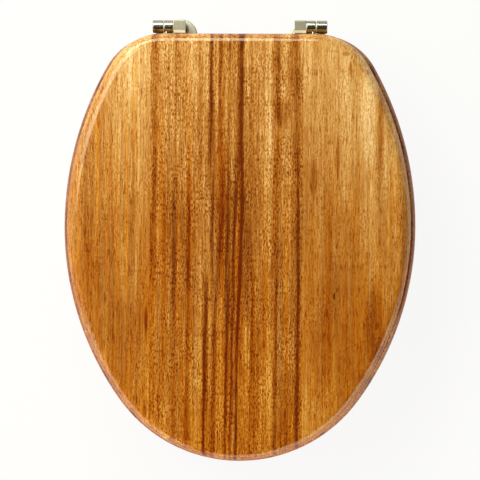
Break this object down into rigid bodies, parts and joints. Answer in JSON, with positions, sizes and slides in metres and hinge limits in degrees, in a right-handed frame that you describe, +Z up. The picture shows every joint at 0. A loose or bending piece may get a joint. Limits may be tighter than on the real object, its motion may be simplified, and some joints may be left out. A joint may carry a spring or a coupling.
{
  "type": "toilet seat",
  "caption": "Wooden toilet seat: a rounded lid over an open oval ring, hinged at the rear on metal posts with swivelling off-centre base discs and fixing studs for the bowl.",
  "frame": {"origin": "on the top of the bowl (the underside of the base gaskets), below the hinge pins' line, midway between the posts", "axes": "+X to the right of a person facing the hinges, +Y to the rear, towards the hinges, +Z up; the front of the seat points to -Y"},
  "size_m": [0.37, 0.4659, 0.118],
  "materials": {
    "wood": "lacquered",
    "polished_steel": "polished",
    "zinc_plated_steel": "zinc plated",
    "nylon": "moulded",
    "grey_rubber": "moulded",
    "buffer_rubber": "moulded"
  },
  "bodies": {
    "hinge_posts": {"left_post": "polished_steel", "left_post_pad": "nylon", "left_hinge_pin": "zinc_plated_steel", "left_post_screw": "zinc_plated_steel", "right_post": "polished_steel", "right_post_pad": "nylon", "right_hinge_pin": "zinc_plated_steel", "right_post_screw": "zinc_plated_steel"},
    "seat": {"seat_ring": "wood", "ring_buffers": "buffer_rubber", "ring_buffer_screws": "zinc_plated_steel", "left_ring_knuckle": "polished_steel", "left_ring_bush": "nylon", "right_ring_knuckle": "polished_steel", "right_ring_bush": "nylon"},
    "lid": {"lid": "wood", "lid_buffers": "buffer_rubber", "lid_buffer_screws": "zinc_plated_steel", "left_lid_knuckle": "polished_steel", "left_lid_bush": "nylon", "right_lid_knuckle": "polished_steel", "right_lid_bush": "nylon"},
    "left_base": {"left_base_disc": "polished_steel", "left_base_gasket": "grey_rubber", "left_fixing_stud": "zinc_plated_steel", "left_cone_washer": "grey_rubber", "left_flat_washer": "zinc_plated_steel", "left_wing_nut": "zinc_plated_steel"},
    "right_base": {"right_base_disc": "polished_steel", "right_base_gasket": "grey_rubber", "right_fixing_stud": "zinc_plated_steel", "right_cone_washer": "grey_rubber", "right_flat_washer": "zinc_plated_steel", "right_wing_nut": "zinc_plated_steel"}
  },
  "joints": [
    {"name": "seat_hinge", "type": "hinge", "parent": "hinge_posts", "child": "seat", "pos_m": [0, 0, 0.032], "axis": [-1, 0, 0], "range_deg": [0, 95]},
    {"name": "lid_hinge", "type": "hinge", "parent": "seat", "child": "lid", "pos_m": [0, 0, 0.032], "axis": [-1, 0, 0], "range_deg": [0, 95]},
    {"name": "left_base_swivel", "type": "hinge", "parent": "hinge_posts", "child": "left_base", "pos_m": [-0.0635, 0, 0], "axis": [0, 0, 1], "range_deg": [-87, 93]},
    {"name": "right_base_swivel", "type": "hinge", "parent": "hinge_posts", "child": "right_base", "pos_m": [0.0635, 0, 0], "axis": [0, 0, -1], "range_deg": [-65, 115]}
  ]
}
